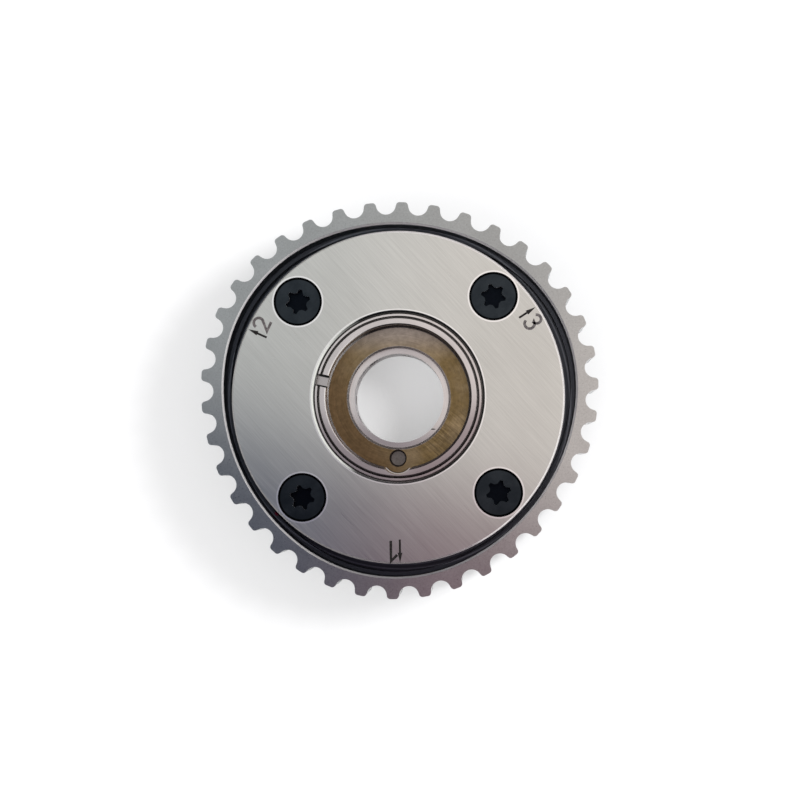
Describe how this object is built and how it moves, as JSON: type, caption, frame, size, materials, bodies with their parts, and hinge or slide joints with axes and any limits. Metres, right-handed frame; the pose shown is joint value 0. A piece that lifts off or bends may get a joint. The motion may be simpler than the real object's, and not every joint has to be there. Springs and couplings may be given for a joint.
{
  "type": "cam phaser",
  "caption": "Vane-type cam phaser for a toothed timing belt: a lobed belt wheel with a round cover plate, and a rotor hub that turns inside it between two stops.",
  "frame": {"origin": "on the camshaft axis, in the rotor's seat for the end of the camshaft", "axes": "+Z along the camshaft axis towards the front cover; +X to the right of the picture, +Y to its top"},
  "size_m": [0.0955, 0.0954, 0.027],
  "materials": {
    "sintered_wheel": "satin sintered steel",
    "ground_cover": "ground, with fine parallel grinding lines",
    "turned_rear": "turned",
    "rotor_steel": "turned, the recessed face stained brown",
    "black_screw": "black coated, satin",
    "seal_plastic": "matte",
    "spring_steel": "bright",
    "pin_steel": "hardened, ground"
  },
  "bodies": {
    "wheel": {"toothed_wheel": "sintered_wheel", "cover_plate": "ground_cover", "rear_plate": "turned_rear", "cover_screw_1": "black_screw", "web_seal_1": "seal_plastic", "web_seal_spring_1": "spring_steel", "cover_screw_2": "black_screw", "web_seal_2": "seal_plastic", "web_seal_spring_2": "spring_steel", "cover_screw_3": "black_screw", "web_seal_3": "seal_plastic", "web_seal_spring_3": "spring_steel", "cover_screw_4": "black_screw", "web_seal_4": "seal_plastic", "web_seal_spring_4": "spring_steel", "lock_bush": "pin_steel"},
    "rotor": {"rotor": "rotor_steel", "dowel_pin": "pin_steel", "lock_spring": "spring_steel", "lock_spring_seat": "spring_steel", "vane_seal_1": "seal_plastic", "vane_seal_2": "seal_plastic", "vane_seal_3": "seal_plastic", "vane_seal_4": "seal_plastic", "vane_seal_spring_1": "spring_steel", "vane_seal_spring_2": "spring_steel", "vane_seal_spring_3": "spring_steel", "vane_seal_spring_4": "spring_steel"},
    "lock_pin": {"lock_pin": "pin_steel"}
  },
  "joints": [
    {"name": "rotor_turn", "type": "hinge", "parent": "wheel", "child": "rotor", "pos_m": [0, 0, 0], "axis": [0, 0, -1], "range_deg": [0, 25]},
    {"name": "lock_pin_slide", "type": "slide", "parent": "rotor", "child": "lock_pin", "axis": [0, 0, 1], "range_m": [0, 0.003], "stiffness_N_per_m": 800, "springref_m": -0.004, "deforming": ["lock_spring"]}
  ]
}
